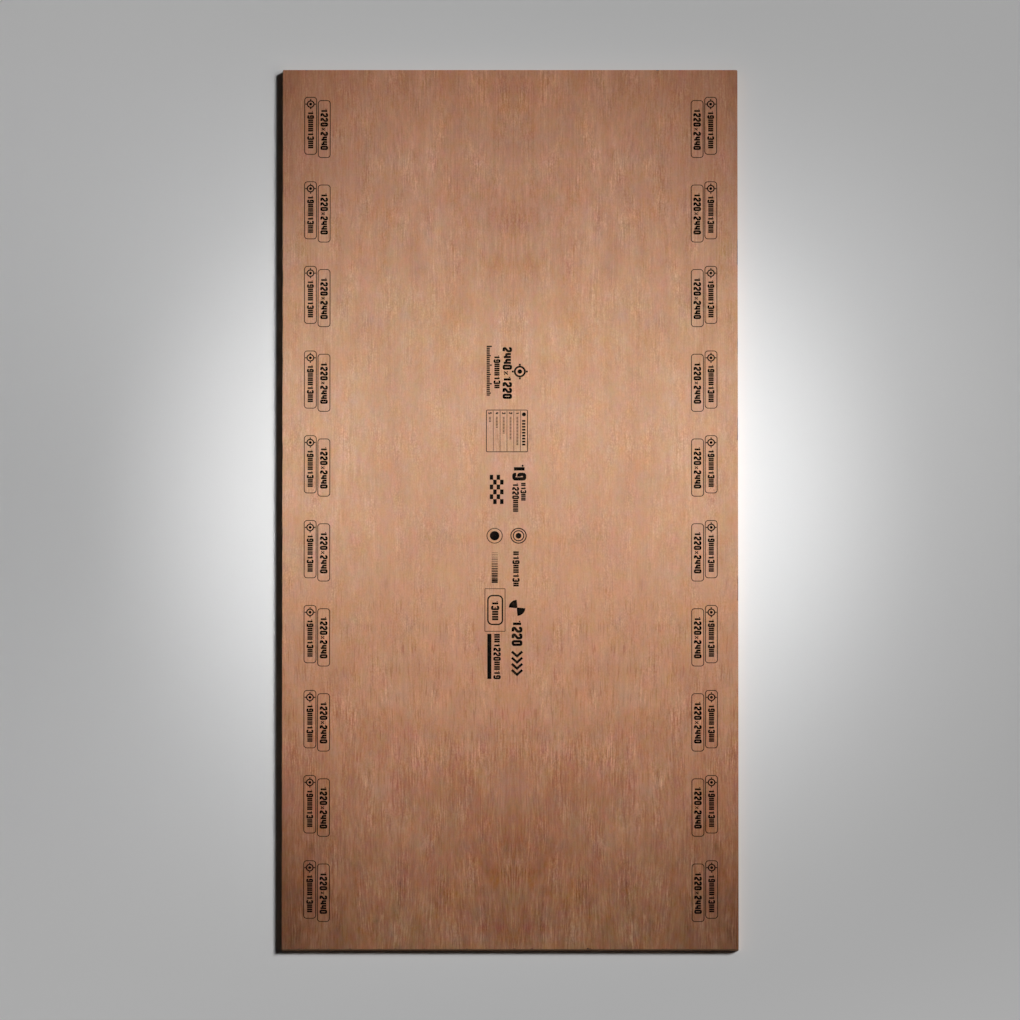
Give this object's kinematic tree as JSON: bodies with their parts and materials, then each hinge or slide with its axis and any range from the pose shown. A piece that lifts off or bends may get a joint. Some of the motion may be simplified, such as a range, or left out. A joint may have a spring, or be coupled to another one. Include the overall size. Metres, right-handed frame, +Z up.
{
  "type": "plywood sheet",
  "caption": "Flat rectangular sheet of hardwood-faced plywood with crossed plies showing along its four sawn edges.",
  "frame": {"origin": "centre of the underside, where the sheet rests on the floor", "axes": "+Y along the length and the face grain, +X across the width, +Z up through the thickness, out of the printed face"},
  "size_m": [1.22, 2.44, 0.019],
  "materials": {
    "hardwood_veneer": "matte"
  },
  "bodies": {
    "root": {"plywood_sheet": "hardwood_veneer"}
  },
  "joints": []
}
